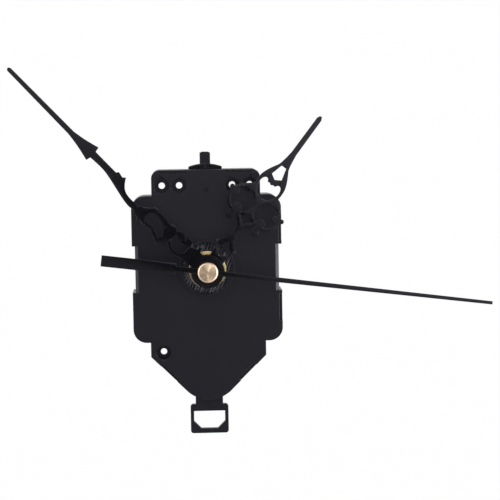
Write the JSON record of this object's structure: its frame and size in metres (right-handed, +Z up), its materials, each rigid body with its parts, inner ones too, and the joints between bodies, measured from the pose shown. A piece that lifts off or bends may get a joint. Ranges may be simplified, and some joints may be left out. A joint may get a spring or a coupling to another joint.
{
  "type": "clock movement",
  "caption": "Battery quartz pendulum clock movement with threaded centre stem, serpentine hour and minute hands, straight second hand, wall hook and swinging pendulum hook.",
  "frame": {"origin": "on the stem axis, at the level of the flat front face of the case", "axes": "-Y along the stem, towards the dial and the viewer; +Z up to twelve o'clock; +X to three o'clock as seen from the front"},
  "size_m": [0.1753, 0.037, 0.139],
  "materials": {
    "case_plastic": "satin black moulded plastic",
    "hand_lacquer": "satin black lacquer on aluminium sheet",
    "brass": "bright turned brass",
    "rose_gold": "satin rose-gold plate",
    "steel": "plain steel",
    "white_plastic": "natural white acetal",
    "copper": "enamelled copper wire",
    "board": "green printed circuit board",
    "magnet": "dark ferrite magnet",
    "lead_insulation": "red wire insulation",
    "chip_epoxy": "black epoxy blob"
  },
  "bodies": {
    "case": {"front_cover": "case_plastic", "back_case": "case_plastic", "wall_hanger": "case_plastic", "threaded_bush": "brass", "brass_washer": "brass", "hex_nut": "brass", "gear_plate": "white_plastic", "stator": "steel", "coil_core": "steel", "coil_bobbin": "white_plastic", "coil_winding": "copper", "coil_screws": "steel", "circuit_board": "board", "chip": "chip_epoxy", "crystal": "steel", "contact_positive": "steel", "contact_negative": "steel", "pendulum_pin": "steel", "pendulum_board": "board", "pendulum_bobbin": "white_plastic", "pendulum_coil": "copper", "pendulum_leads": "lead_insulation"},
    "seconds": {"seconds_wheel": "white_plastic", "seconds_arbor": "steel", "second_hand_socket": "brass", "second_hand": "hand_lacquer", "second_hand_cap": "rose_gold"},
    "centre": {"minute_pipe": "brass", "centre_wheel": "white_plastic", "minute_hand_collet": "brass", "minute_hand": "hand_lacquer"},
    "hour": {"hour_wheel": "white_plastic", "hour_hand_collet": "brass", "hour_hand": "hand_lacquer"},
    "intermediate": {"intermediate_wheel": "white_plastic"},
    "third": {"third_wheel": "white_plastic"},
    "rotor": {"rotor_pinion": "white_plastic", "rotor_magnet": "magnet"},
    "motion": {"minute_wheel": "white_plastic", "set_knob": "case_plastic"},
    "pendulum": {"pendulum_arm": "case_plastic", "pendulum_magnet": "magnet"}
  },
  "joints": [
    {"name": "seconds_spin", "type": "hinge", "parent": "case", "child": "seconds", "pos_m": [0, 0, 0], "axis": [0, 1, 0], "continuous": true},
    {"name": "minute_spin", "type": "hinge", "parent": "case", "child": "centre", "pos_m": [0, 0, 0], "axis": [0, 1, 0], "continuous": true},
    {"name": "hour_spin", "type": "hinge", "parent": "case", "child": "hour", "pos_m": [0, 0, 0], "axis": [0, 1, 0], "continuous": true},
    {"name": "intermediate_spin", "type": "hinge", "parent": "case", "child": "intermediate", "pos_m": [0.00779, 0, 0.0045], "axis": [0, 1, 0], "continuous": true},
    {"name": "third_spin", "type": "hinge", "parent": "case", "child": "third", "pos_m": [0, 0, 0.0092], "axis": [0, 1, 0], "continuous": true},
    {"name": "rotor_spin", "type": "hinge", "parent": "case", "child": "rotor", "pos_m": [0, 0, 0.0162], "axis": [0, 1, 0], "continuous": true},
    {"name": "setting_spin", "type": "hinge", "parent": "case", "child": "motion", "pos_m": [-0.00831, 0, 0.0048], "axis": [0, 1, 0], "continuous": true},
    {"name": "pendulum_swing", "type": "hinge", "parent": "case", "child": "pendulum", "pos_m": [0, 0.009, -0.031], "axis": [0, 1, 0], "range_deg": [-6, 6]}
  ],
  "couplings": [
    {"joint": "minute_spin", "follows": "seconds_spin", "ratio": 0.016667},
    {"joint": "hour_spin", "follows": "seconds_spin", "ratio": 0.0013889},
    {"joint": "intermediate_spin", "follows": "seconds_spin", "ratio": -0.13333},
    {"joint": "third_spin", "follows": "seconds_spin", "ratio": -5},
    {"joint": "rotor_spin", "follows": "seconds_spin", "ratio": 30},
    {"joint": "setting_spin", "follows": "seconds_spin", "ratio": -0.0055556}
  ]
}
